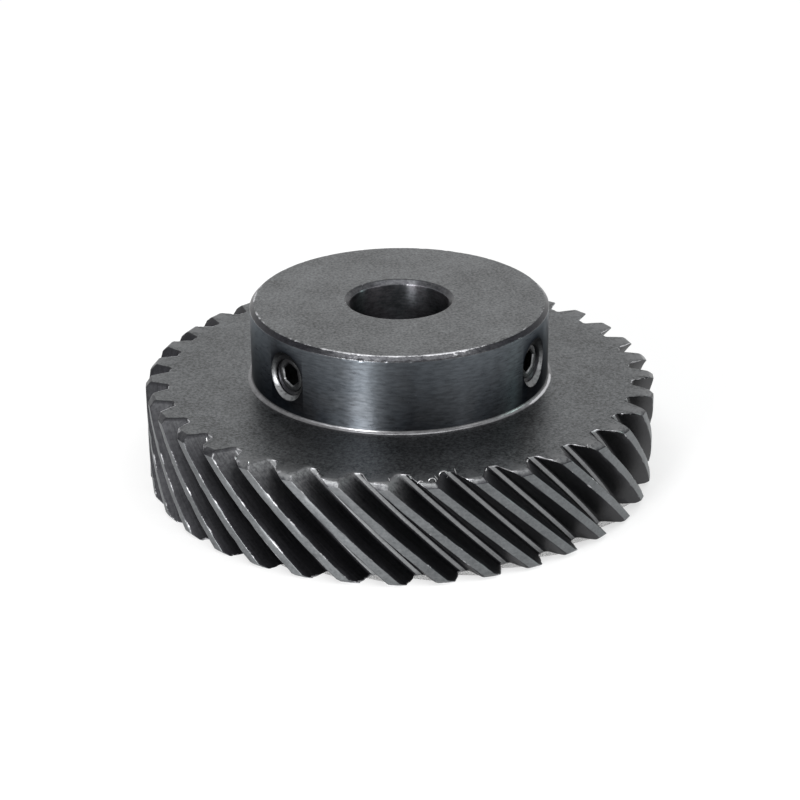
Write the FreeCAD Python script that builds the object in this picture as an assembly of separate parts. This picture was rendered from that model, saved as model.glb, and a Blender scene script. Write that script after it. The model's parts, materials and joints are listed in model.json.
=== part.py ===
import FreeCAD
import Part
import math
import os

# Helical gear with a plain hub and two set screws.
# One steel gear, machined from bar, has left hand teeth, a hub on one side and a plain bore.
# A socket set screw stands in each of two tapped holes through the hub, to grip the shaft.
# Millimetres, +Z up. The origin is on the bore axis, in the flat back face that the gear rests on.

# Teeth
MODULE = 1.5                # normal module
TEETH = 35
HELIX_ANGLE = 45.0          # degrees, at the pitch circle, left hand
PRESSURE_ANGLE = 20.0       # degrees, in the normal section
FACE_WIDTH = 16.0
ADDENDUM_MODULES = 1.0
DEDENDUM_MODULES = 1.25
ROOT_FILLET = 0.6           # radius between flank and root, drawn as the chord of its arc
TIP_CHAMFER = 0.75          # on both ends of every tooth
TOOTH_PHASE = 0.9           # degrees from +X to the middle of a tooth, at the front face

# Hub and bore
HUB_DIAMETER = 45.0
HUB_LENGTH = 12.0
HUB_CHAMFER = 0.65
HUB_FILLET = 0.6            # left by the turning tool, drawn as the chord of its arc
BORE_DIAMETER = 15.0
BORE_CHAMFER = 0.65

# Tapped holes
HOLES_APART = 109.5         # degrees between the two holes, half on each side of -Y
COUNTERSINK_DIAMETER = 7.5
COUNTERSINK_HALF_ANGLE = 45.0
THREAD_CLEARANCE = 0.05     # between the plain hole and the plain screw, all round

# Set screws
SCREW_DIAMETER = 6.0
SCREW_LENGTH = 12.0
SCREW_RECESS = 1.0          # from the hub's surface in to the outer end
SCREW_END_CHAMFER = 0.55
SCREW_POINT_DIAMETER = 3.0
SCREW_CUP_DEPTH = 0.6
SOCKET_ACROSS_FLATS = 3.0
SOCKET_DEPTH = 3.5
SOCKET_TURN = {"left": 10.0, "right": -14.0}    # degrees from a corner pointing up

# How far a cutting shape runs past the face that it cuts
OVERRUN = 0.5

X_AXIS = FreeCAD.Vector(1, 0, 0)
Z_AXIS = FreeCAD.Vector(0, 0, 1)
ORIGIN = FreeCAD.Vector(0, 0, 0)

# Sizes that follow from the driving ones
TRANSVERSE_PRESSURE = math.atan(
    math.tan(math.radians(PRESSURE_ANGLE)) / math.cos(math.radians(HELIX_ANGLE)))
PITCH_RADIUS = TEETH * MODULE / math.cos(math.radians(HELIX_ANGLE)) / 2
BASE_RADIUS = PITCH_RADIUS * math.cos(TRANSVERSE_PRESSURE)
TIP_RADIUS = PITCH_RADIUS + ADDENDUM_MODULES * MODULE
ROOT_RADIUS = PITCH_RADIUS - DEDENDUM_MODULES * MODULE
HELIX_PITCH = 2 * math.pi * PITCH_RADIUS / math.tan(math.radians(HELIX_ANGLE))
TOTAL_LENGTH = FACE_WIDTH + HUB_LENGTH
HUB_RADIUS = HUB_DIAMETER / 2
BORE_RADIUS = BORE_DIAMETER / 2
HOLE_HEIGHT = FACE_WIDTH + HUB_LENGTH / 2
HOLE_ANGLES = {"left": -90.0 - HOLES_APART / 2, "right": -90.0 + HOLES_APART / 2}


def polar(radius, angle, height=0.0):
    """The point at a radius and an angle in radians."""
    return FreeCAD.Vector(radius * math.cos(angle), radius * math.sin(angle), height)


def line(first, last):
    return Part.LineSegment(first, last).toShape()


def involute(angle):
    """The involute function of a pressure angle in radians."""
    return math.tan(angle) - angle


def half_gap_angle(radius):
    """Half the angle of the gap between two teeth, in the transverse plane."""
    pressure = math.acos(BASE_RADIUS / radius)
    half_tooth = math.pi / (2 * TEETH) + involute(TRANSVERSE_PRESSURE) - involute(pressure)
    return math.pi / TEETH - half_tooth


def root_fillet_foot():
    """The fillet between a flank and the root circle, as seen from the middle of the gap.

    The centre lies on a line that touches the base circle, because each normal of an
    involute does. Returns the radius where the flank starts and the centre's angle.
    """
    reach = math.sqrt((ROOT_RADIUS + ROOT_FILLET) ** 2 - BASE_RADIUS ** 2)
    flank_start = math.hypot(BASE_RADIUS, reach - ROOT_FILLET)
    roll = (reach - ROOT_FILLET) / BASE_RADIUS
    from_involute_start = math.atan(reach / BASE_RADIUS) - roll
    centre_angle = half_gap_angle(BASE_RADIUS) - from_involute_start
    return flank_start, centre_angle


def on_flank(side, radius):
    """A point of the gap's involute flank. Side is 1 or -1."""
    return polar(radius, side * half_gap_angle(radius))


def gap_flank(side, start_radius, end_radius):
    """One flank of the gap, as a quadratic curve through three points of the involute."""
    start = on_flank(side, start_radius)
    middle = on_flank(side, (start_radius + end_radius) / 2)
    end = on_flank(side, end_radius)
    curve = Part.BezierCurve()
    curve.setPoles([start, middle * 2 - (start + end) * 0.5, end])
    return curve.toShape()


def gap_section():
    """The closed outline of one gap in the transverse plane, centred on +X."""
    flank_start, centre_angle = root_fillet_foot()
    outer = TIP_RADIUS + OVERRUN
    edges = [
        line(polar(ROOT_RADIUS, -centre_angle), polar(ROOT_RADIUS, centre_angle)),
        line(on_flank(-1, outer), on_flank(1, outer)),
    ]
    for side in (-1, 1):
        edges.append(line(polar(ROOT_RADIUS, side * centre_angle), on_flank(side, flank_start)))
        edges.append(gap_flank(side, flank_start, outer))
    return Part.Wire(Part.__sortEdges__(edges))


def tooth_gaps():
    """All gaps between the teeth: one section carried along a left hand helix, then repeated."""
    length = FACE_WIDTH + 2 * OVERRUN
    helix = Part.makeLongHelix(HELIX_PITCH, length, PITCH_RADIUS, 0, True)
    gap = Part.Wire(helix.Edges).makePipeShell([gap_section()], True, True)
    gap.translate(FreeCAD.Vector(0, 0, -OVERRUN))
    # The helix turns this far from the section's plane to the front face
    turn_to_front = -360.0 * (FACE_WIDTH + OVERRUN) / HELIX_PITCH
    first_gap = TOOTH_PHASE + 180.0 / TEETH - turn_to_front
    gaps = []
    for i in range(TEETH):
        copy = gap.copy()
        copy.rotate(ORIGIN, Z_AXIS, first_gap + i * 360.0 / TEETH)
        gaps.append(copy)
    return gaps


def turned(axis, outline):
    """A solid turned about an axis, from (place along the axis, radius) points."""
    across = FreeCAD.Vector(axis.z, 0, axis.x)
    points = [axis * place + across * radius for place, radius in outline]
    points.append(points[0])
    return Part.Face(Part.makePolygon(points)).revolve(ORIGIN, axis, 360)


def turned_blank():
    """The gear before its teeth and holes are cut: rim, hub and bore as one turned section."""
    return turned(Z_AXIS, [
        (BORE_CHAMFER, BORE_RADIUS),
        (0, BORE_RADIUS + BORE_CHAMFER),
        (0, TIP_RADIUS - TIP_CHAMFER),
        (TIP_CHAMFER, TIP_RADIUS),
        (FACE_WIDTH - TIP_CHAMFER, TIP_RADIUS),
        (FACE_WIDTH, TIP_RADIUS - TIP_CHAMFER),
        (FACE_WIDTH, HUB_RADIUS + HUB_FILLET),
        (FACE_WIDTH + HUB_FILLET, HUB_RADIUS),
        (TOTAL_LENGTH - HUB_CHAMFER, HUB_RADIUS),
        (TOTAL_LENGTH, HUB_RADIUS - HUB_CHAMFER),
        (TOTAL_LENGTH, BORE_RADIUS + BORE_CHAMFER),
        (TOTAL_LENGTH - BORE_CHAMFER, BORE_RADIUS),
    ])


def put_in_hub(shape, side):
    """Moves a shape made about +X to its place in the hub."""
    shape.rotate(ORIGIN, Z_AXIS, HOLE_ANGLES[side])
    shape.translate(FreeCAD.Vector(0, 0, HOLE_HEIGHT))
    return shape


def tapped_hole(side):
    """The tapped hole at its full thread diameter, with its countersink at the hub's surface."""
    hole_radius = SCREW_DIAMETER / 2 + THREAD_CLEARANCE
    mouth_radius = COUNTERSINK_DIAMETER / 2
    slope = math.tan(math.radians(COUNTERSINK_HALF_ANGLE))
    return put_in_hub(turned(X_AXIS, [
        (0, 0),
        (0, hole_radius),
        (HUB_RADIUS - (mouth_radius - hole_radius) / slope, hole_radius),
        (HUB_RADIUS + OVERRUN, mouth_radius + OVERRUN * slope),
        (HUB_RADIUS + OVERRUN, 0),
    ]), side)


def gear():
    """The gear: a turned blank with its gaps and its two tapped holes cut."""
    holes = [tapped_hole(side) for side in HOLE_ANGLES]
    return turned_blank().cut(holes).cut(tooth_gaps())


def hex_socket(outer_end, turn):
    """The hexagon that the key goes into."""
    corner_radius = SOCKET_ACROSS_FLATS / 2 / math.cos(math.pi / 6)
    corners = []
    for i in range(7):
        corner = polar(corner_radius, math.radians(turn + 60.0 * i))
        corners.append(FreeCAD.Vector(outer_end - SOCKET_DEPTH, corner.y, corner.x))
    depth = FreeCAD.Vector(SOCKET_DEPTH + OVERRUN, 0, 0)
    return Part.Face(Part.makePolygon(corners)).extrude(depth)


def set_screw(side):
    """A cup point set screw, its outer end recessed below the hub's surface."""
    radius = SCREW_DIAMETER / 2
    outer = HUB_RADIUS - SCREW_RECESS
    inner = outer - SCREW_LENGTH
    point_radius = SCREW_POINT_DIAMETER / 2
    body = turned(X_AXIS, [
        (inner + SCREW_CUP_DEPTH, 0),
        (inner, point_radius),
        (inner + radius - point_radius, radius),
        (outer - SCREW_END_CHAMFER, radius),
        (outer, radius - SCREW_END_CHAMFER),
        (outer, 0),
    ])
    return put_in_hub(body.cut(hex_socket(outer, SOCKET_TURN[side])), side)


os.makedirs("parts", exist_ok=True)
gear().exportStep("parts/gear.step")
for screw_side in HOLE_ANGLES:
    set_screw(screw_side).exportStep("parts/set_screw_%s.step" % screw_side)
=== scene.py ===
import functools
import json
import math
from typing import NamedTuple

import bmesh
import bpy
import numpy as np
from mathutils import Matrix, Vector, noise

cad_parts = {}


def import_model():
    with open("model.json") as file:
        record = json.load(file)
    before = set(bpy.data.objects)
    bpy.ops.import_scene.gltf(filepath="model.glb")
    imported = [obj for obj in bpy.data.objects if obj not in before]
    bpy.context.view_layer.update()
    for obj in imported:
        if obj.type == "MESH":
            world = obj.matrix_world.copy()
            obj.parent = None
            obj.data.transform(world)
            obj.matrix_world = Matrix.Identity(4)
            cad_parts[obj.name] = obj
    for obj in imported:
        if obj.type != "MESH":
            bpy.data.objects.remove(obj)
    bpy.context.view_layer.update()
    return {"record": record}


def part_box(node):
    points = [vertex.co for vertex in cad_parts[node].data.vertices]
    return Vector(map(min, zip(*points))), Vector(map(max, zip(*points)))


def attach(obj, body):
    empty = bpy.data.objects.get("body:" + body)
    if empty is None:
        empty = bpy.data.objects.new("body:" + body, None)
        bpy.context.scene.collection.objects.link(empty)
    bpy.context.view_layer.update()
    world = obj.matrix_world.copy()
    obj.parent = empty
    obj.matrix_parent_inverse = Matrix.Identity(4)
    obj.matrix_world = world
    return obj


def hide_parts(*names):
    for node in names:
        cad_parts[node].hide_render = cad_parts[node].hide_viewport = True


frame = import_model()

# Helical gear with a plain hub and two set screws, in blackened steel.
# Sizes are in millimetres and are turned into metres where a mesh is made.
# The origin is on the bore axis, in the flat back face that the gear rests on.
MM = 0.001

# Teeth
MODULE = 1.5                # normal module
TEETH = 35
HELIX_ANGLE = 45.0          # degrees, at the pitch circle, left hand
PRESSURE_ANGLE = 20.0       # degrees, in the normal section
FACE_WIDTH = 16.0
ADDENDUM_MODULES = 1.0
DEDENDUM_MODULES = 1.25
ROOT_FILLET = 0.6
TIP_CHAMFER = 0.75
TOOTH_PHASE = 0.9           # degrees from +X to the middle of a tooth, at the front face

# Hub and bore
HUB_DIAMETER = 45.0
HUB_CHAMFER = 0.65
HUB_FILLET = 0.6
BORE_CHAMFER = 0.65

# Tapped holes and set screws
HOLES_APART = 109.5         # degrees between the two holes, half on each side of -Y
COUNTERSINK_DIAMETER = 7.5
THREAD_DIAMETER = 6.0
THREAD_PITCH = 1.0
THREAD_DEPTH = 0.54
THREAD_CLEARANCE = 0.05     # between the screw's thread and the hole's, all round
SCREW_LENGTH = 12.0
SCREW_RECESS = 1.0          # from the hub's surface in to the outer end
SCREW_END_CHAMFER = 0.55
SCREW_POINT_DIAMETER = 3.0
SCREW_CUP_DEPTH = 0.6
SOCKET_ACROSS_FLATS = 3.0
SOCKET_DEPTH = 3.5
SOCKET_CHAMFER = 0.18
SOCKET_TURN = {"left": 10.0, "right": -14.0}    # degrees from a corner pointing up

# Small edges
EDGE = 0.07                 # broken edges of the teeth
ROUNDED_EDGE = 0.24         # the blunt edge at a tooth's end
EDGE_MIDDLE = 0.3           # share of an edge's size, from each of its faces to the middle of its round
SOFT_EDGE = 0.09            # rounding of the turned edges
CORNER_AT_END = 0.20        # of a tooth's tip, where it meets an end face
CHAMFER_SPREAD = 0.14       # how much the tip chamfer differs from tooth to tooth
END_NICKS = 0.20            # deepest nick in the sharp edge at a tooth's end
TIP_NICKS = 0.16            # deepest nick along the tip of a tooth
BURR_THICKNESS = 0.19       # at its foot
BURR_ROOT = 0.15            # how deep a burr is set in the tooth
BURR_TAPER = 0.75           # share of its section that a burr loses towards its end
RIM_NICKS = 0.12            # deepest nick in the hub's rim, at the front
SHOULDER_NICKS = 0.05       # the same, between the hub's chamfer and its side
NICKS_BEHIND = 0.2          # share of their depth at the back

# How finely the meshes are divided, and the angle in degrees above which an edge is sharp
SHARP_ANGLE = 35
FLANK_POINTS = 6
HELIX_STEPS = 18
FILLET_STEPS = 5
THREAD_POINTS = 48          # round the thread
THREAD_STEPS = 10           # along one pitch
BURR_POINTS = 8             # round a burr
BURR_STEPS = 10

# Wear, from 0 where the blackening is whole to 1 where it is gone, then rubbing and painted light, which
# lighten the steel; some of the wear is a painted highlight
WORN = 0.15                 # millimetres that it is rubbed off beside an edge
TIP_WEAR = 0.28             # along the tips of the teeth
END_WEAR = 0.75             # round the ends of the teeth
BORE_WEAR = 0.2
RIM_WEAR = 0.45             # round the hub's rim
# Round the hub's rim at the front: partly wear, partly a painted highlight
RIM_WEAR_AND_HIGHLIGHT_FRONT = 1.0
SHOULDER_WEAR = 0.15        # between the hub's chamfer and its side
CHAMFER_WEAR_AND_HIGHLIGHT = 0.3          # of the hub's chamfer, at the front, partly wear and partly a painted highlight
PAINTED_SOCKET_HIGHLIGHT = 0.7            # painted highlight round the socket of a set screw, on its lit side
PAINTED_LIGHT_DEPTH = 1.7          # millimetres down the flanks from the front face, over which their painted light fades
PAINTED_LIGHT_RIM = 0.32           # painted highlight on the chamfer of the hub, at the front
RUBBED_BORE = 0.30          # the chamfers of the bore
PAINTED_LIGHT_COUNTERSINK = 1.3    # painted light on the countersink's lit side

# Where the gear is worn most and where light is painted on it, as (degrees from +X, share of the wear or of
# the painted light) round the axis
# The front of the hub's rim and chamfer: partly wear, partly a painted highlight, and deeper nicks
FRONT_OF_RIM = ((225, 0.0), (240, 1.0), (290, 1.0), (308, 0.0))
# Painted light on the flanks that face up, strongest at the front face and fading down into the shaded gaps
PAINTED_LIGHT_FLANK_ENDS = (
    (178, 0.0), (186, 0.4), (218, 0.4), (226, 1.2), (246, 1.1), (254, 0.6), (257, 0.6), (259, 1.4),
    (264, 1.4), (266, 0.0))
# Painted light along the whole of those flanks
PAINTED_LIGHT_FLANKS = ((172, 0.0), (182, 0.16), (200, 0.14), (222, 0.0))
# Painted light on the chamfers at the teeth's front ends: full at the front, less at the left, where they
# keep a painted shade
PAINTED_LIGHT_TOOTH_ENDS = ((150, 1.0), (175, 0.25), (220, 0.25), (230, 1.0))
# Painted sheen on the hub's side, at its top and at its foot: lighter towards the top, and in streaks round
# it
PAINTED_SHEEN_HUB_TOP = (
    (188, 1.50), (196, 1.00), (203, 0.70), (210, 0.30), (220, 0.57), (240, 0.68), (246, 0.60),
    (254, 0.76), (258, 0.66), (264, 0.46), (286, 0.74), (302, 0.74), (316, 0.60), (326, 0.60),
    (338, 1.10), (350, 1.10))
PAINTED_SHEEN_HUB_FOOT = (
    (205, 0.05), (226, 0.08), (234, 0.12), (239, 0.45), (244, 0.36), (256, 0.48), (262, 0.27),
    (267, 0.09), (286, 0.33), (292, 0.17), (306, 0.20), (314, 0.0))
# Bare steel along the hub's foot, partly wear and partly a painted highlight
FOOT_WEAR_AND_HIGHLIGHT = ((312, 0.0), (324, 1.3), (346, 1.3), (352, 0.0))
WORN_BLUNT_EDGES = ((222, 0.1), (232, 0.35), (254, 0.3), (258, 0.9), (264, 0.9), (266, 0.1))
WORN_TIPS = ((188, 1.0), (203, 1.8), (235, 1.8), (248, 1.0))
PAINTED_LIGHT_SIDE = {"left": 225.0, "right": 310.0}   # the lit side of a hole and its screw, which takes painted light, in degrees from its right
PAINTED_GLINT_AT = 15.0                                 # a painted glint on the end of a set screw, in the same way

# Burrs on the front face: (gap, side, place from root to tip, length, lean, curl, width), in
# millimetres and degrees. Lean is from the face, and curl is how far the burr turns over.
BURRS = (
    (20, 1, 0.3, 0.6, 40, 60, 0.35),
    (21, 1, 0.9, 0.9, 50, 90, 0.45),
    (22, -1, 1.0, 0.5, 70, 60, 0.30),
    (23, 1, 0.3, 0.7, 30, 50, 0.60),
    (25, -1, 0.6, 0.6, 70, 80, 0.35),
    (25, 1, 0.2, 0.8, 30, 70, 0.50),
    (25, 1, 0.9, 1.5, 120, 200, 0.35),
    (26, -1, 0.9, 2.1, 90, 230, 0.32),
    (26, -1, 0.6, 0.8, 115, 10, 0.20),
    (26, -1, 0.2, 2.8, 100, -250, 0.38),
    (26, 1, 0.0, 1.0, 65, 15, 0.22),
    (27, -1, 0.1, 0.5, 30, 60, 0.35),
    (28, -1, 0.1, 0.5, 40, 60, 0.35),
    (29, 1, 0.9, 0.5, 50, 60, 0.30),
)

# Camera, as fitted to the photograph
AIM_HEIGHT = FACE_WIDTH     # the fit turned about the middle of the gear's front face
CAMERA_DISTANCE = 332.469
CAMERA_AZIMUTH = -7.12      # degrees from -Y, towards +X
CAMERA_ELEVATION = 23.6815
CAMERA_NOSE_DOWN = 0.7428   # degrees further down than the aim point
CAMERA_ROLL = -0.4286       # degrees
LENS = 98.008               # millimetres, as the sensor's width
SENSOR = 36.0

# Light
FLOOR_GLOW = 0.62           # share of the floor's white that no shadow takes away
WORLD_FILL = 0.5            # the world's light on matt surfaces, beside white at 1

# Sizes that follow
low_corner, high_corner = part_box("gear")
TOTAL_LENGTH = (high_corner.z - low_corner.z) / MM
BORE_RADIUS = frame["record"]["mounts"][0]["dims"]["r_mm"]
HUB_RADIUS = HUB_DIAMETER / 2
HOLE_HEIGHT = (FACE_WIDTH + TOTAL_LENGTH) / 2
HOLE_ANGLES = {"left": -90.0 - HOLES_APART / 2, "right": -90.0 + HOLES_APART / 2}
TRANSVERSE_PRESSURE = math.atan(
    math.tan(math.radians(PRESSURE_ANGLE)) / math.cos(math.radians(HELIX_ANGLE)))
PITCH_RADIUS = TEETH * MODULE / math.cos(math.radians(HELIX_ANGLE)) / 2
BASE_RADIUS = PITCH_RADIUS * math.cos(TRANSVERSE_PRESSURE)
TIP_RADIUS = PITCH_RADIUS + ADDENDUM_MODULES * MODULE
ROOT_RADIUS = PITCH_RADIUS - DEDENDUM_MODULES * MODULE
TWIST = math.tan(math.radians(HELIX_ANGLE)) / PITCH_RADIUS      # radians of turn per millimetre
TOOTH_STEP = 2 * math.pi / TEETH
FRONT_GAP = math.radians(TOOTH_PHASE) + TOOTH_STEP / 2          # the first gap, at the front face
WEB_RADIUS = ROOT_RADIUS - 0.8                                  # a ring of plain face inside the teeth

# Material slots of the gear's mesh
FACED, HUB_FACE, FLANK, ROOT_LAND, TIP_LAND, FOOT, HUB_SIDE, CHAMFER, BORE, HOLE, BURR = range(11)


def involute(angle):
    """The involute function of a pressure angle in radians."""
    return math.tan(angle) - angle


def half_gap_angle(radius):
    """Half the angle of the gap between two teeth, in the transverse plane."""
    pressure = math.acos(BASE_RADIUS / radius)
    half_tooth = math.pi / (2 * TEETH) + involute(TRANSVERSE_PRESSURE) - involute(pressure)
    return math.pi / TEETH - half_tooth


@functools.cache
def half_outline(tip_radius, shrink=0.0, corner=EDGE):
    """Half a gap and half a tooth as (radius, angle, finish, wear), from the gap's middle.

    Shrink is how far the outline lies inside the metal, and corner how far the tip's corner
    is broken.
    """
    reach = math.sqrt((ROOT_RADIUS + ROOT_FILLET) ** 2 - BASE_RADIUS ** 2)
    flank_start = math.hypot(BASE_RADIUS, reach - ROOT_FILLET)
    roll = (reach - ROOT_FILLET) / BASE_RADIUS
    centre_angle = half_gap_angle(BASE_RADIUS) - math.atan(reach / BASE_RADIUS) + roll
    centre = complex(ROOT_RADIUS + ROOT_FILLET) * np.exp(1j * centre_angle)
    start = flank_start * np.exp(1j * half_gap_angle(flank_start))
    first_turn = centre_angle + math.pi
    last_turn = np.angle(start - centre)

    def on_flank(radius):
        """The flank's point at a radius, moved into the metal."""
        pressure = math.acos(BASE_RADIUS / radius)
        inward = complex(-math.sin(pressure), math.cos(pressure))
        return (radius + shrink * inward) * np.exp(1j * half_gap_angle(radius))

    points = [(ROOT_RADIUS - shrink, 0.0, ROOT_LAND, 0.0)]
    points.append((ROOT_RADIUS - shrink, centre_angle, FLANK, 0.0))
    for share in (0.25, 0.5, 0.75):         # round the fillet
        turn = first_turn + (last_turn - first_turn) * share
        on_fillet = centre + (ROOT_FILLET + shrink) * np.exp(1j * turn)
        points.append((abs(on_fillet), np.angle(on_fillet), FLANK, 0.0))
    tip = tip_radius - shrink
    sunk = shrink * math.sin(math.acos(BASE_RADIUS / tip))
    flank_end = tip - corner + sunk
    for share in np.linspace(0.0, 1.0, FLANK_POINTS):
        place = on_flank(flank_start + (flank_end - WORN - flank_start) * share)
        points.append((abs(place), np.angle(place), FLANK, 0.0))
    corner_angle = np.angle(on_flank(tip + sunk))
    middle = EDGE_MIDDLE * corner
    return points + [
        (tip - corner, np.angle(on_flank(flank_end)), FLANK, TIP_WEAR),
        (tip - middle, corner_angle + middle / tip, TIP_LAND, TIP_WEAR),
        (tip, corner_angle + corner / tip, TIP_LAND, TIP_WEAR),
        (tip, corner_angle + (corner + WORN) / tip, TIP_LAND, 0.0),
        (tip, math.pi / TEETH, TIP_LAND, 0.0),
    ]


def ring_outline(up_side, down_side):
    """One whole turn of teeth as arrays: points as complex numbers, finishes and wear.

    Each side of the teeth is (a tip radius for each tooth, shrink, corner). A finish is that
    of the stretch that starts at its point.
    """
    points = []
    for gap in range(TEETH):
        before = half_outline(up_side[0][gap], *up_side[1:])
        after = half_outline(down_side[0][(gap + 1) % TEETH], *down_side[1:])
        middle = gap * TOOTH_STEP
        back = [(r, middle - a, before[i - 1][2], w) for i, (r, a, _, w) in enumerate(before)]
        points += back[:0:-1]
        points += [(r, middle + a, f, w) for r, a, f, w in after[:-1]]
    radius, angle, finish, wear = (np.array(column) for column in zip(*points))
    return radius * np.exp(1j * angle), finish, wear


def ring_places():
    """For each point of a ring: its tooth, and whether it is on the side that faces up."""
    half = len(half_outline(TIP_RADIUS)) - 1
    gaps = np.arange(TEETH)
    tooth = np.stack([gaps, (gaps + 1) % TEETH], axis=1).repeat(half, axis=1).ravel()
    faces_up = np.tile(np.repeat([True, False], half), TEETH)
    return tooth, faces_up


def round_axis(flat, table):
    """The value at each point of a table of (degrees from +X, value) round the axis."""
    return np.interp(np.degrees(np.angle(flat)) % 360, *zip(*table))


def knocks(flat, height, spacing, above):
    """0 to 1 at each point: how far it was knocked, which is where a noise is above a level."""
    places = np.stack([flat.real, flat.imag, np.broadcast_to(height, len(flat))], axis=1)
    level = np.array([noise.noise(Vector(place)) for place in places / spacing])
    return np.clip((level - above) / 0.25, 0.0, 1.0)


class Skin:
    """A surface made of closed rings that all have the same number of points."""

    def __init__(self):
        self.points = []
        self.faces = []
        self.finishes = []
        self.wear = []
        self.rubbed = []
        self.size = 0

    def join(self, low, high, finish):
        """Adds the faces between two rings, given by the number of their first point."""
        here = np.arange(self.size)
        following = np.roll(here, -1)
        faces = np.stack([low + here, low + following, high + following, high + here], axis=1)
        self.faces += faces.tolist()
        self.finishes.append(np.broadcast_to(finish, self.size))

    def ring(self, flat, height, finish, wear=0.0, rubbed=0.0):
        """Adds a ring, and the faces between it and the ring before. Finish is of those faces."""
        self.size = len(flat)
        start = self.size * len(self.points)
        height = np.broadcast_to(height, self.size)
        self.points.append(np.stack([flat.real, flat.imag, height], axis=1))
        self.wear.append(np.broadcast_to(wear, self.size))
        self.rubbed.append(np.broadcast_to(rubbed, self.size))
        if start:
            self.join(start - self.size, start, finish)

    def close(self, finish):
        """Joins the last ring to the first."""
        self.join(self.size * (len(self.points) - 1), 0, finish)

    def cap(self, finish):
        """Closes the first and the last ring with a face each."""
        here = np.arange(self.size)
        last = here + self.size * (len(self.points) - 1)
        self.faces += [here[::-1].tolist(), last.tolist()]
        self.finishes.append(np.broadcast_to(finish, 2))

    def mesh(self, name):
        """All of it as a mesh, in metres."""
        mesh = bpy.data.meshes.new(name)
        mesh.from_pydata((np.concatenate(self.points) * MM).tolist(), [], self.faces)
        slots = np.concatenate(self.finishes).astype(np.int32)
        mesh.polygons.foreach_set("material_index", slots)
        for layer, values in (("wear", self.wear), ("rubbed", self.rubbed)):
            attribute = mesh.attributes.new(layer, "FLOAT", "POINT")
            attribute.data.foreach_set("value", np.concatenate(values).astype(np.float32))
        return mesh


class Stretch(NamedTuple):
    """A stretch of a turned outline, which ends at a radius and a height.

    Each kind of wear, rubbing and painted light is one number, or one for each point round the axis.
    """
    radius: float
    height: float
    finish: int
    wear: float = 0.0
    edge_wear: float = 0.0          # of the edge at its end
    rubbed: tuple = (0.0, 0.0)      # rubbing and painted light, at its start and its end
    nicks: float = 0.0              # depth of the nicks in the edge at its end


def softened(outline, radius):
    """The rings of a turned outline with its edges rounded, each as a stretch of its own.

    An edge has three rings over its round, and plain ones beside it that end its wear.
    """
    rings = []
    for before, corner, after in zip(outline, outline[1:], outline[2:]):
        here = np.array(corner[:2])
        back = np.array(before[:2]) - here
        ahead = np.array(after[:2]) - here
        back /= np.linalg.norm(back)
        ahead /= np.linalg.norm(ahead)
        guards = (1, 2) if corner.nicks else (1,)
        for guard in guards[::-1]:
            place = here + back * (radius + guard * WORN)
            rings.append(Stretch(*place, corner.finish, corner.wear, rubbed=corner.rubbed[1]))
        for share in (0.0, 0.5, 1.0):
            place = here + (back * (1 - share) ** 2 + ahead * share ** 2) * radius
            finish = after.finish if share else corner.finish
            rubbed = after.rubbed[0] if share else corner.rubbed[1]
            rings.append(Stretch(*place, finish, corner.edge_wear, rubbed=rubbed, nicks=corner.nicks))
        for guard in guards:
            place = here + ahead * (radius + guard * WORN)
            rings.append(Stretch(*place, after.finish, after.wear, rubbed=after.rubbed[0]))
    rings.append(outline[-1]._replace(rubbed=outline[-1].rubbed[1]))
    return rings


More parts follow.
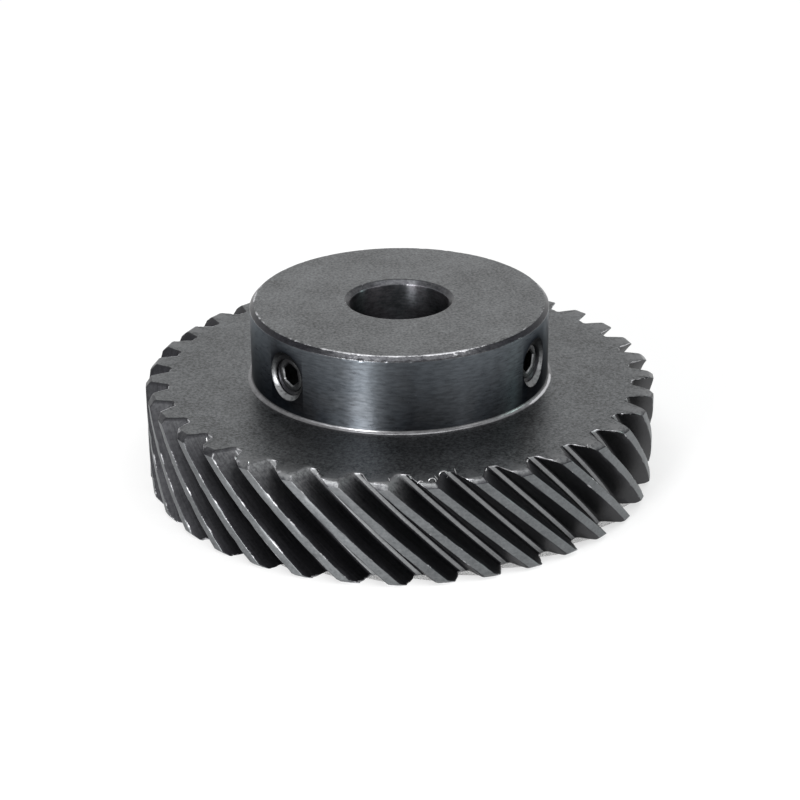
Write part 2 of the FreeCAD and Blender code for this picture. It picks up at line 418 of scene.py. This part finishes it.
def toothed_rim(skin):
    """Adds the toothed rim from the back face up, and returns the directions of its points."""
    tooth, faces_up = ring_places()
    spread = np.random.default_rng(5).uniform(-CHAMFER_SPREAD, CHAMFER_SPREAD, (2, TEETH))
    back_chamfers, front_chamfers = TIP_CHAMFER + spread

    def at(height, up_side, down_side):
        """The teeth at one height for each point, turned by the helix."""
        ring, finish, wear = ring_outline(up_side, down_side)
        return ring * np.exp(1j * (FRONT_GAP + (FACE_WIDTH - height) * TWIST)), finish, wear

    def plain(height, lowered=0.0, corner=EDGE):
        """The teeth at one height for each point, with each tooth's tip lowered and nicked."""
        side = (np.broadcast_to(TIP_RADIUS - lowered, TEETH), 0.0, corner)
        ring, finish, wear = at(height, side, side)
        nicked = (wear > 0) * TIP_NICKS * knocks(ring, height, 1.3, 0.2)
        return ring * (1 - nicked / np.abs(ring)), finish, wear * round_axis(ring, WORN_TIPS)

    def end_rings(face, chamfers, blunt, direction):
        """The rings over the edge of an end face, from the face outwards.

        Blunt is where the edge is rounded, and direction is 1 or -1, into the teeth.
        """
        base, finish, corner_wear = plain(face, chamfers)
        nicked = (finish == FLANK) & (corner_wear == 0) & ~blunt
        nicks = END_NICKS * knocks(base, face, 0.9, 0.05) * nicked
        depths = (ROUNDED_EDGE, EDGE) if blunt[0] else (EDGE, ROUNDED_EDGE)
        rings = []
        # Two plain rings on the face, then three over the edge, by its size inward and down
        over_edge = ((0, 1.0, 0.0), (0, EDGE_MIDDLE, EDGE_MIDDLE), (0, 0.0, 1.0))
        for guard, inward, down in ((2, 1.0, 0.0), (1, 1.0, 0.0), *over_edge):
            height = face + direction * down * (np.where(blunt, ROUNDED_EDGE, EDGE) + nicks)
            sides = [
                (TIP_RADIUS - chamfers + depth * down, depth * inward + guard * WORN, CORNER_AT_END)
                for depth in depths]
            ring, finish, _ = at(height, *sides)
            into_gap = np.where(faces_up, 1j, -1j) * ring / np.abs(ring)
            wear = 0.0 if guard else np.where(blunt, round_axis(ring, WORN_BLUNT_EDGES), END_WEAR)
            rings.append((ring - into_gap * nicks * inward, height, finish, wear))
        return rings

    def rubbed(ring, height):
        """Painted light on the flanks: on those that face up, most of all near the front face, fading down
        into the shaded gaps.
        """
        near_front = np.exp((height - FACE_WIDTH) / PAINTED_LIGHT_DEPTH)
        ends = round_axis(ring, PAINTED_LIGHT_FLANK_ENDS) * near_front
        return np.maximum(ends, round_axis(ring, PAINTED_LIGHT_FLANKS)) * faces_up

    def add_front(ring, height, finish, wear, flanks):
        """Adds a ring over the front chamfers, with painted light on the chamfers by their place round the
        axis, and the painted light given for its flanks.
        """
        on_tip = finish == TIP_LAND
        tips = round_axis(ring, PAINTED_LIGHT_TOOTH_ENDS)
        skin.ring(ring, height, np.where(on_tip, CHAMFER, finish), wear, np.where(on_tip, tips, flanks))

    for i, (ring, height, finish, wear) in enumerate(end_rings(0.0, back_chamfers, ~faces_up, 1)):
        skin.ring(ring, height, FACED if i < 3 else finish, wear)
    low = back_chamfers[tooth]
    high = FACE_WIDTH - front_chamfers[tooth]
    rows = [(low / 2, back_chamfers / 2, (CORNER_AT_END + EDGE) / 2)]
    rows += [(low + (high - low) * i / HELIX_STEPS, 0.0, EDGE) for i in range(HELIX_STEPS + 1)]
    for height, lowered, corner in rows:
        ring, finish, wear = plain(height, lowered, corner)
        skin.ring(ring, height, finish, wear, rubbed(ring, height))
    height = (high + FACE_WIDTH) / 2
    ring, finish, wear = plain(height, front_chamfers / 2, (CORNER_AT_END + EDGE) / 2)
    add_front(ring, height, finish, wear, rubbed(ring, height))
    for ring, height, finish, wear in end_rings(FACE_WIDTH, front_chamfers, faces_up, -1)[::-1]:
        # Painted light on the front chamfers and on the flanks beside them
        ends = round_axis(ring, PAINTED_LIGHT_TOOTH_ENDS)
        add_front(ring, height, finish, wear, ends * rubbed(ring, height))
    skin.finishes[-2:] = [np.full(skin.size, FACED)] * 2
    outline = plain(FACE_WIDTH)[0]
    return outline / np.abs(outline)


def gear_mesh():
    """The gear's skin: the toothed rim from the back up, then the front face, hub, bore and back."""
    skin = Skin()
    spokes = toothed_rim(skin)
    skin.ring(spokes * WEB_RADIUS, FACE_WIDTH, FACED)
    spokes = spokes[0] * np.exp(2j * math.pi * np.arange(skin.size) / skin.size)
    foot_radius = HUB_RADIUS + HUB_FILLET
    skin.ring(spokes * (foot_radius + 1.0), FACE_WIDTH, FACED)
    for i in range(FILLET_STEPS + 1):
        turn = i / FILLET_STEPS * math.pi / 2
        radius = foot_radius - HUB_FILLET * math.sin(turn)
        height = FACE_WIDTH + HUB_FILLET * (1 - math.cos(turn))
        # Wear and a painted highlight along the foot
        wear = round_axis(spokes, FOOT_WEAR_AND_HIGHLIGHT) if i in (1, 2) else 0.0
        skin.ring(spokes * radius, height, FACED if i == 0 else FOOT, wear)
    # Painted sheen on the hub's side, from its foot to its top
    hub_painted_sheen = (round_axis(spokes, PAINTED_SHEEN_HUB_FOOT), round_axis(spokes, PAINTED_SHEEN_HUB_TOP))
    skin.rubbed[-1] = hub_painted_sheen[0]

    # Wear and a painted highlight on the hub's rim and chamfer, most at the front, where the nicks are
    # deeper too
    front = round_axis(spokes, FRONT_OF_RIM)
    rim_wear_and_highlight = RIM_WEAR + (RIM_WEAR_AND_HIGHLIGHT_FRONT - RIM_WEAR) * front
    rim_painted_light = (PAINTED_LIGHT_RIM * front, PAINTED_LIGHT_RIM * front)
    bore_rubbed = (RUBBED_BORE, RUBBED_BORE)
    stretches = softened([
        Stretch(HUB_RADIUS, FACE_WIDTH + HUB_FILLET, FOOT),
        Stretch(
            HUB_RADIUS, TOTAL_LENGTH - HUB_CHAMFER, HUB_SIDE, 0.0, SHOULDER_WEAR, hub_painted_sheen,
            SHOULDER_NICKS),
        Stretch(
            HUB_RADIUS - HUB_CHAMFER, TOTAL_LENGTH, CHAMFER, CHAMFER_WEAR_AND_HIGHLIGHT * front, rim_wear_and_highlight, rim_painted_light,
            RIM_NICKS),
        Stretch(BORE_RADIUS + BORE_CHAMFER, TOTAL_LENGTH, HUB_FACE, 0.0, BORE_WEAR),
        Stretch(BORE_RADIUS, TOTAL_LENGTH - BORE_CHAMFER, CHAMFER, 0.0, BORE_WEAR, bore_rubbed),
        Stretch(BORE_RADIUS, BORE_CHAMFER, BORE, 0.0, BORE_WEAR),
        Stretch(BORE_RADIUS + BORE_CHAMFER, 0.0, CHAMFER, 0.0, BORE_WEAR, bore_rubbed),
        Stretch(WEB_RADIUS, 0.0, FACED),
    ], SOFT_EDGE)
    for radius, height, finish, wear, _, rubbed, deepest in stretches:
        depth = deepest * (NICKS_BEHIND + (1 - NICKS_BEHIND) * front)
        nicks = depth * knocks(spokes * radius, height, 1.1, 0.25)
        skin.ring(spokes * (radius - nicks), height - nicks, finish, wear, rubbed)
    skin.close(FACED)
    return skin.mesh("gear_body")


def burr_mesh(gap, side, place, length, lean, curl, width):
    """A curl of metal that stands on the edge between a flank and the front face."""
    foot = ROOT_RADIUS + ROOT_FILLET
    radius = foot + (TIP_RADIUS - TIP_CHAMFER - foot) * place
    angle = FRONT_GAP + gap * TOOTH_STEP + side * half_gap_angle(radius)
    outward = np.exp(1j * angle)
    into_gap = -side * 1j * outward
    flat = radius * outward - BURR_ROOT * into_gap
    height = FACE_WIDTH - BURR_ROOT
    spin = 2 * np.pi * np.arange(BURR_POINTS) / BURR_POINTS
    burr = Skin()
    for step in range(BURR_STEPS + 1):
        turn = math.radians(lean + curl * step / BURR_STEPS)
        size = 1 - BURR_TAPER * (step / BURR_STEPS) ** 2
        wide = size * width / 2 * np.cos(spin)
        thick = size * BURR_THICKNESS / 2 * np.sin(spin)
        burr.ring(
            flat + wide * outward - thick * math.sin(turn) * into_gap, height + thick * math.cos(turn), BURR)
        flat += into_gap * math.cos(turn) * length / BURR_STEPS
        height += math.sin(turn) * length / BURR_STEPS
    burr.cap(BURR)
    mesh = burr.mesh("burr")
    if side > 0:
        mesh.flip_normals()
    return mesh


def thread_radius(turns, crest):
    """The radius at a place on the thread, counted in turns along it.

    It is a triangle wave whose ends are cut off, which leaves the flats of root and crest.
    """
    wave = 1.6 * np.abs(2 * (turns % 1.0) - 1) - 0.2
    return crest - THREAD_DEPTH * (1 - np.clip(wave, 0.0, 1.0))


def threaded_rings(first, last, crest):
    """(place along the axis, radius at each angle) for a thread, from the centre outwards."""
    around = np.arange(THREAD_POINTS) / THREAD_POINTS
    steps = math.ceil((last - first) / THREAD_PITCH * THREAD_STEPS)
    for i in range(steps + 1):
        place = first + (last - first) * i / steps
        yield place, thread_radius(place / THREAD_PITCH - around, crest)


def thread_angles():
    """The angles of a threaded ring's points."""
    return 2 * np.pi * np.arange(THREAD_POINTS) / THREAD_POINTS


def towards(angle):
    """For each point of a threaded ring, 0 to 1: how far it lies on the side at an angle.

    A little more than half of the ring does.
    """
    return np.clip(0.3 + np.cos(thread_angles() - math.radians(angle)), 0.0, 1.0)


def put_in_hub(mesh, side):
    """Lays a mesh made about Z along the axis of a tapped hole, its end outwards."""
    lay_down = Matrix(((0, 0, 1, 0), (1, 0, 0, 0), (0, 1, 0, 0), (0, 0, 0, 1)))
    turn = Matrix.Rotation(math.radians(HOLE_ANGLES[side]), 4, "Z")
    mesh.transform(Matrix.Translation((0, 0, HOLE_HEIGHT * MM)) @ turn @ lay_down)
    return mesh


def hole_cutter(side):
    """What the drill, tap and countersink take out of the hub."""
    crest = THREAD_DIAMETER / 2 + THREAD_CLEARANCE
    mouth = COUNTERSINK_DIAMETER / 2
    around = np.exp(1j * thread_angles())
    # The side of the hole that takes painted light
    lit_side = towards(PAINTED_LIGHT_SIDE[side])
    cutter = Skin()
    for place, radius in threaded_rings(BORE_RADIUS / 2, HUB_RADIUS - (mouth - crest), crest):
        cutter.ring(radius * around, place, HOLE)
    # Down the cone from the thread and on past the hub's surface, with painted light and a painted highlight
    # on its lit side, brightest at its mouth
    rubbed = PAINTED_LIGHT_COUNTERSINK * lit_side
    for past_hub, wear in ((crest - mouth + 0.1, 0.2), (-0.3, 0.0), (-0.15, 0.5), (1.0, 0.9)):
        cutter.ring((mouth + past_hub) * around, HUB_RADIUS + past_hub, HOLE, wear * lit_side, rubbed)
    cutter.cap(HOLE)
    return put_in_hub(cutter.mesh("cutter"), side)


def hexagon(across_flats, turn):
    """The radius of a hexagon at each point of a threaded ring, and turn in degrees."""
    from_flat = (thread_angles() - math.radians(turn) + np.pi / 6) % (np.pi / 3) - np.pi / 6
    return across_flats / 2 / np.cos(from_flat)


def set_screw_mesh(side):
    """A socket set screw with its thread, hexagon socket and cup point."""
    crest = THREAD_DIAMETER / 2
    outer = HUB_RADIUS - SCREW_RECESS
    inner = outer - SCREW_LENGTH
    around = np.exp(1j * thread_angles())
    screw = Skin()
    screw.ring(EDGE * around, inner + SCREW_CUP_DEPTH, 0)
    for place, radius in threaded_rings(inner, outer, crest):
        from_point = SCREW_POINT_DIAMETER / 2 + (place - inner)
        from_end = crest - SCREW_END_CHAMFER + (outer - place)
        # A painted glint on the chamfer at the screw's outer end
        painted_glint = towards(PAINTED_GLINT_AT) ** 3 if outer - place < SCREW_END_CHAMFER else 0.0
        radius = np.minimum(radius, min(from_point, from_end))
        screw.ring(radius * around, place, 0, 0.0, painted_glint)
    socket = hexagon(SOCKET_ACROSS_FLATS, SOCKET_TURN[side])
    # The socket's lit side takes a painted highlight and painted light
    lit_side = towards(PAINTED_LIGHT_SIDE[side])
    for radius, depth, wear, rubbed in (
            (socket + SOCKET_CHAMFER, 0.0, PAINTED_SOCKET_HIGHLIGHT * lit_side, lit_side),
            (socket, SOCKET_CHAMFER, PAINTED_SOCKET_HIGHLIGHT * lit_side, lit_side),
            (socket, 2 * SOCKET_CHAMFER, 0.0, 0.5 * lit_side),
            (socket, SOCKET_DEPTH, 0.0, 0.0),
            (socket * 0.15, SOCKET_DEPTH + SCREW_CUP_DEPTH, 0.0, 0.0)):     # the drill's point
        screw.ring(radius * around, outer - depth, 0, wear, rubbed)
    screw.cap(0)
    return put_in_hub(screw.mesh("set_screw"), side)


def add_object(name, mesh, slot, *nodes):
    """A shown piece of the object, in place of its CAD nodes."""
    mesh.name = name
    piece = bpy.data.objects.new(name, mesh)
    bpy.context.scene.collection.objects.link(piece)
    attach(piece, "root")
    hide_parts(*nodes)
    return piece


def shade(mesh):
    """Smooth shading, but for the sharp edges."""
    mesh.polygons.foreach_set("use_smooth", [True] * len(mesh.polygons))
    mesh.set_sharp_from_angle(angle=math.radians(SHARP_ANGLE))
    mesh.update()


def combine(piece, operation, solver, meshes):
    """Takes the meshes out of the piece, or joins them to it.

    MANIFOLD keeps the wear of the meshes, and EXACT copes with burrs on nicked edges.
    """
    together = bmesh.new()
    for mesh in meshes:
        together.from_mesh(mesh)
    bmesh.ops.triangulate(together, faces=together.faces)
    other = bpy.data.objects.new("other", bpy.data.meshes.new("other"))
    together.to_mesh(other.data)
    together.free()
    bpy.context.scene.collection.objects.link(other)
    for material in piece.data.materials:
        other.data.materials.append(material)
    modifier = piece.modifiers.new("combine", "BOOLEAN")
    modifier.operation = operation
    modifier.solver = solver
    modifier.object = other
    bpy.context.view_layer.update()
    evaluated = piece.evaluated_get(bpy.context.evaluated_depsgraph_get())
    result = bpy.data.meshes.new_from_object(evaluated)
    piece.modifiers.clear()
    piece.data = result
    bpy.data.objects.remove(other)


class Nodes:
    """A short way to write a node tree."""

    def __init__(self, tree):
        self.tree = tree
        tree.nodes.clear()

    def add(self, kind, inputs=None, **settings):
        """Adds a node. Each input is a plain value, or the output that it is linked to."""
        node = self.tree.nodes.new(kind)
        for name, value in settings.items():
            setattr(node, name, value)
        for key, value in (inputs or {}).items():
            if isinstance(value, bpy.types.NodeSocket):
                self.tree.links.new(value, node.inputs[key])
            else:
                node.inputs[key].default_value = value
        return node

    def math(self, operation, first, second=0.0, third=0.0, clamp=False):
        inputs = {0: first, 1: second, 2: third}
        return self.add("ShaderNodeMath", inputs, operation=operation, use_clamp=clamp).outputs[0]

    def vector_math(self, operation, inputs):
        return self.add("ShaderNodeVectorMath", inputs, operation=operation).outputs

    def noise(self, vector, scale, detail=2.0, roughness=0.5):
        node = self.add("ShaderNodeTexNoise", {
            "Vector": vector, "Scale": scale, "Detail": detail, "Roughness": roughness})
        return node.outputs["Fac"]

    def remap(self, value, from_low, from_high, to_low=0.0, to_high=1.0):
        node = self.add("ShaderNodeMapRange", {
            "Value": value, "From Min": from_low, "From Max": from_high,
            "To Min": to_low, "To Max": to_high})
        return node.outputs[0]

    def mix(self, factor, first, second):
        """A mix of two colours."""
        return self.add("ShaderNodeMix", {0: factor, 6: first, 7: second}, data_type="RGBA").outputs[2]


def rgb(red, green, blue):
    """A colour as a node's socket takes it."""
    return (red, green, blue, 1.0)


BARE_STEEL = rgb(0.50, 0.50, 0.52)
# Paler steel that rubbing and painted light lean towards; the blue one is the painted sheen on the hub's
# side
RUBBED_AND_LIT_STEEL = rgb(0.147, 0.150, 0.154)
PAINTED_SHEEN_BLUE = rgb(0.136, 0.150, 0.165)


def tool_marks(nodes, place, direction):
    """Coordinates, from those in millimetres, stretched along the marks that a tool leaves.

    Direction is around the axis, facing for arcs on a face, or helix for along the teeth.
    """
    if direction == "around":
        return nodes.add("ShaderNodeMapping", {"Vector": place, "Scale": (0.7, 0.7, 3.2)}).outputs[0]
    if direction == "facing":
        flat = nodes.vector_math("MULTIPLY", {0: place, 1: (1, 1, 0)})[0]
        radius = nodes.vector_math("LENGTH", {0: flat})["Value"]
        split = nodes.add("ShaderNodeSeparateXYZ", {0: place}).outputs
        return nodes.add("ShaderNodeCombineXYZ", {
            0: nodes.math("MULTIPLY", radius, 4.0),
            1: nodes.math("MULTIPLY", split[0], 0.25),
            2: nodes.math("MULTIPLY", split[1], 0.25)}).outputs[0]
    height = nodes.add("ShaderNodeSeparateXYZ", {0: place}).outputs[2]
    untwisted = nodes.add("ShaderNodeVectorRotate", {
        "Vector": place, "Angle": nodes.math("MULTIPLY", height, TWIST)}, rotation_type="Z_AXIS")
    return nodes.add("ShaderNodeMapping", {
        "Vector": untwisted.outputs[0], "Scale": (4.0, 4.0, 0.25)}).outputs[0]


def worn(nodes, place, base, mark_noise, rubbed_and_lit_to, smear):
    """The colour with the steel showing through: bare on worn edges and painted highlights, and duller for
    rubbing and for painted light.
    """
    # Wear here also carries painted highlights: on the lit side of the holes and sockets, and at the front
    # of the hub's rim and foot
    edge = nodes.add("ShaderNodeAttribute", attribute_name="wear").outputs["Fac"]
    chips = nodes.math("MULTIPLY_ADD", nodes.noise(place, 2.2, 3.0, 0.7), 1.3, -2.2)
    stretches = nodes.math("MULTIPLY_ADD", nodes.noise(place, 0.35, 2.0, 0.5), 2.0, chips)
    bare = nodes.math("MULTIPLY", nodes.math("ADD", edge, stretches), 3.0, clamp=True)
    bare = nodes.math("MULTIPLY", bare, nodes.remap(edge, 0.0, 0.15))
    base = nodes.mix(bare, base, BARE_STEEL)

    # Painted light and rubbing both make the colour paler here
    rubbed = nodes.add("ShaderNodeAttribute", attribute_name="rubbed").outputs["Fac"]
    streaks = nodes.math("MULTIPLY", rubbed, nodes.remap(mark_noise, 0.25, 0.65, 0.55, 1.0))
    uneven = nodes.remap(nodes.noise(place, 1.5, 4.0, 0.75), 0.35, 0.65, 1.0 - smear, 1.0 + smear)
    return nodes.mix(nodes.math("MULTIPLY", streaks, uneven, clamp=True), base, rubbed_and_lit_to)


def steel(name, colour, roughness, direction, contrast, marks, grain, relief,
          tint=None, anisotropy=0.0, edge_tint=(1, 1, 1), rubbed_and_lit_to=RUBBED_AND_LIT_STEEL, smear=0.6):
    """Blackened steel with tool marks, grain, patches of another tint, worn edges and painted light.

    Contrast is how far the colour swings about its mean. Marks and grain share that swing
    with the patches. Relief is the depth of the bumps in millimetres. Edge_tint is what is
    left of the reflection where the surface turns away. Smear is how uneven the rubbing and painted light
    are.
    """
    material = bpy.data.materials.new(name)
    material.use_nodes = True
    nodes = Nodes(material.node_tree)
    metres = nodes.add("ShaderNodeTexCoord").outputs["Object"]
    place = nodes.vector_math("MULTIPLY", {0: metres, 1: (1 / MM, 1 / MM, 1 / MM)})[0]
    mark_noise = nodes.noise(tool_marks(nodes, place, direction), 1.0, 3.0, 0.6)
    grain_noise = nodes.noise(place, 2.6, 2.0, 0.7)
    patch_noise = nodes.noise(place, 0.16, 3.0, 0.6)

    swing = nodes.math("MULTIPLY", nodes.remap(mark_noise, 0.3, 0.7), marks)
    swing = nodes.math("MULTIPLY_ADD", nodes.remap(grain_noise, 0.33, 0.67), grain, swing)
    swing = nodes.math("MULTIPLY_ADD", nodes.remap(patch_noise, 0.3, 0.7), 1.0 - marks - grain, swing)
    base = nodes.mix(nodes.remap(patch_noise, 0.42, 0.6), rgb(*colour), rgb(*(tint or colour)))
    brightness = nodes.remap(swing, 0.0, 1.0, 1.0 - contrast, 1.0 + contrast)
    base = nodes.vector_math("SCALE", {0: base, 3: brightness})[0]
    base = worn(nodes, place, base, mark_noise, rubbed_and_lit_to, smear)

    rough = nodes.remap(swing, 0.0, 1.0, roughness - 0.04, roughness + 0.04)
    bumps = nodes.math("MULTIPLY_ADD", mark_noise, marks, nodes.math("MULTIPLY", grain_noise, grain))
    bumped = nodes.add("ShaderNodeBump", {"Strength": 1.0, "Distance": relief * MM, "Height": bumps})
    shader = nodes.add("ShaderNodeBsdfPrincipled", {
        "Base Color": base, "Roughness": rough, "Normal": bumped.outputs[0], "Metallic": 1.0,
        "Specular Tint": rgb(*edge_tint)})
    if anisotropy:
        shader.inputs["Anisotropic"].default_value = anisotropy
        shader.inputs["Anisotropic Rotation"].default_value = 0.25
        tangent = nodes.add("ShaderNodeTangent", direction_type="RADIAL", axis="Z")
        nodes.tree.links.new(tangent.outputs[0], shader.inputs["Tangent"])
    nodes.add("ShaderNodeOutputMaterial", {"Surface": shader.outputs[0]})
    return material


def gear_materials():
    """In the order of the finishes, each as steel takes it."""
    return [
        steel("faced_steel", (0.096, 0.100, 0.103), 0.38, "facing", 0.90, 0.15, 0.65, 0.006),
        steel("hub_face_steel", (0.114, 0.118, 0.121), 0.40, "facing", 0.85, 0.10, 0.65, 0.006),
        # The teeth's steel as shaded and lit copies: the dark flanks are painted shade, the pale roots and
        # tips painted highlight
        steel("flank_steel", (0.026, 0.026, 0.029), 0.50, "helix", 0.50, 0.50, 0.30, 0.004),
        steel("root_steel", (0.240, 0.245, 0.250), 0.50, "helix", 0.40, 0.50, 0.30, 0.004),
        steel("tip_steel", (0.134, 0.140, 0.145), 0.50, "around", 0.40, 0.30, 0.35, 0.004),
        # Paler than the faced steel, as a painted highlight along the hub's foot
        steel("foot_steel", (0.140, 0.140, 0.145), 0.30, "around", 0.50, 0.50, 0.20, 0.004),
        # The hub's side: its dark colour is partly painted shade, and a painted sheen makes it paler and
        # bluer, most near its top
        steel("hub_steel", (0.011, 0.013, 0.017), 0.30, "around", 0.45, 0.70, 0.15, 0.010,
              tint=(0.015, 0.015, 0.017), anisotropy=0.85, edge_tint=(0.48, 0.49, 0.50),
              rubbed_and_lit_to=PAINTED_SHEEN_BLUE, smear=0.0),
        # Dark, partly as painted shade; painted light makes it paler at the front of the hub and of the
        # teeth, and rubbing in the bore
        steel("chamfer_steel", (0.022, 0.022, 0.026), 0.30, "around", 0.50, 0.40, 0.40, 0.006),
        steel("bore_steel", (0.090, 0.096, 0.104), 0.34, "around", 0.50, 0.50, 0.30, 0.006,
              tint=(0.100, 0.097, 0.106), anisotropy=0.85),
        steel("hole_steel", (0.018, 0.018, 0.020), 0.35, "around", 0.50, 0.20, 0.50, 0.006),
        steel("burr_steel", (0.340, 0.340, 0.345), 0.35, "around", 0.40, 0.30, 0.50, 0.004),
    ]


def floor():
    """A large pale floor, white where nothing shades it."""
    reach = 20.0
    corners = [(-reach, -reach, 0), (reach, -reach, 0), (reach, reach, 0), (-reach, reach, 0)]
    mesh = bpy.data.meshes.new("floor")
    mesh.from_pydata(corners, [], [(0, 1, 2, 3)])
    ground = bpy.data.objects.new("floor", mesh)
    bpy.context.scene.collection.objects.link(ground)
    material = bpy.data.materials.new("floor_white")
    material.use_nodes = True
    nodes = Nodes(material.node_tree)
    seen = seen_rays(nodes)
    own = nodes.add("ShaderNodeEmission", {"Color": rgb(1, 1, 1), "Strength": FLOOR_GLOW})
    shaded = nodes.add("ShaderNodeBsdfDiffuse", {"Color": rgb(*(3 * [1.05 - FLOOR_GLOW]))})
    shown = nodes.add("ShaderNodeAddShader", {0: own.outputs[0], 1: shaded.outputs[0]})
    plain = nodes.add("ShaderNodeBsdfDiffuse", {"Color": rgb(0.7, 0.7, 0.7)})
    mixed = nodes.add("ShaderNodeMixShader", {0: seen, 1: plain.outputs[0], 2: shown.outputs[0]})
    nodes.add("ShaderNodeOutputMaterial", {"Surface": mixed.outputs[0]})
    mesh.materials.append(material)


def seen_rays(nodes):
    """1 for the rays that show the background: camera, glossy and transmission rays."""
    path = nodes.add("ShaderNodeLightPath").outputs
    shown = nodes.math("ADD", path["Is Camera Ray"], path["Is Glossy Ray"])
    return nodes.math("ADD", shown, path["Is Transmission Ray"], clamp=True)


def world():
    """White all round, and dimmer as a light."""
    scene_world = bpy.data.worlds.new("studio")
    scene_world.use_nodes = True
    nodes = Nodes(scene_world.node_tree)
    strength = nodes.remap(seen_rays(nodes), 0.0, 1.0, WORLD_FILL, 1.0)
    white = nodes.add("ShaderNodeBackground", {"Color": rgb(1, 1, 1), "Strength": strength})
    nodes.add("ShaderNodeOutputWorld", {"Surface": white.outputs[0]})
    bpy.context.scene.world = scene_world


def from_camera(azimuth, elevation):
    """A direction given from the camera's own side of the gear, in degrees; left is negative."""
    turn = math.radians(CAMERA_AZIMUTH + azimuth)
    rise = math.radians(elevation)
    return Vector((math.sin(turn) * math.cos(rise), -math.cos(turn) * math.cos(rise), math.sin(rise)))


def lamp(name, centre, width, height, radiance, colour=(1, 1, 1)):
    """A soft box that faces the gear, its centre in metres from it. Radiance 1 is white."""
    light = bpy.data.lights.new(name, "AREA")
    light.shape = "RECTANGLE"
    light.size = width
    light.size_y = height
    light.energy = radiance * math.pi * width * height
    light.color = colour
    box = bpy.data.objects.new(name, light)
    bpy.context.scene.collection.objects.link(box)
    box.location = centre + Vector((0, 0, AIM_HEIGHT * MM))
    box.rotation_mode = "QUATERNION"
    box.rotation_quaternion = centre.to_track_quat("Z", "Y")
    box.visible_camera = False


def lamps():
    """Three boxes on the left, one of them high, a wide one overhead and two on the right."""
    lamp("left_box", from_camera(-28.5, 9) * 1.2, 0.30, 0.34, 42.0)
    lamp("far_left_box", from_camera(-54, 12) * 1.3, 0.45, 0.40, 4.0)
    lamp("high_left_box", from_camera(-45, 62) * 1.1, 0.35, 0.35, 4.0)
    lamp("top_box", from_camera(15, 70) * 1.1, 1.3, 0.35, 3.0)
    lamp("front_box", from_camera(52, 14) * 1.2, 0.50, 0.40, 2.0)
    lamp("right_box", from_camera(93, 12) * 1.2, 0.15, 0.5, 7.0, (0.75, 1.0, 0.92))


def camera():
    """The camera of the fit."""
    data = bpy.data.cameras.new("camera")
    data.lens = LENS
    data.sensor_width = SENSOR
    data.clip_start = 0.01
    data.clip_end = 100
    taker = bpy.data.objects.new("camera", data)
    bpy.context.scene.collection.objects.link(taker)
    target = Vector((0, 0, AIM_HEIGHT * MM))
    taker.location = target + from_camera(0, CAMERA_ELEVATION) * CAMERA_DISTANCE * MM
    looking = Matrix.Rotation(math.radians(CAMERA_AZIMUTH), 4, "Z")
    pitch = Matrix.Rotation(math.radians(90 - CAMERA_ELEVATION - CAMERA_NOSE_DOWN), 4, "X")
    roll = Matrix.Rotation(math.radians(CAMERA_ROLL), 4, "Z")
    taker.rotation_euler = (looking @ pitch @ roll).to_euler()
    bpy.context.scene.camera = taker


gear = add_object("gear_body", gear_mesh(), "gear_steel", "gear")
for finish in gear_materials():
    gear.data.materials.append(finish)
combine(gear, "DIFFERENCE", "MANIFOLD", [hole_cutter(side) for side in HOLE_ANGLES])
combine(gear, "UNION", "EXACT", [burr_mesh(*burr) for burr in BURRS])
shade(gear.data)
screw_steel = steel("screw_steel", (0.02, 0.02, 0.022), 0.30, "around", 0.4, 0.2, 0.4, 0.004)
for side in HOLE_ANGLES:
    screw = add_object("screw_" + side, set_screw_mesh(side), "screw_steel", "set_screw_" + side)
    screw.data.materials.append(screw_steel)
    shade(screw.data)

floor()
world()
lamps()
camera()
bpy.context.scene.view_settings.view_transform = "Standard"
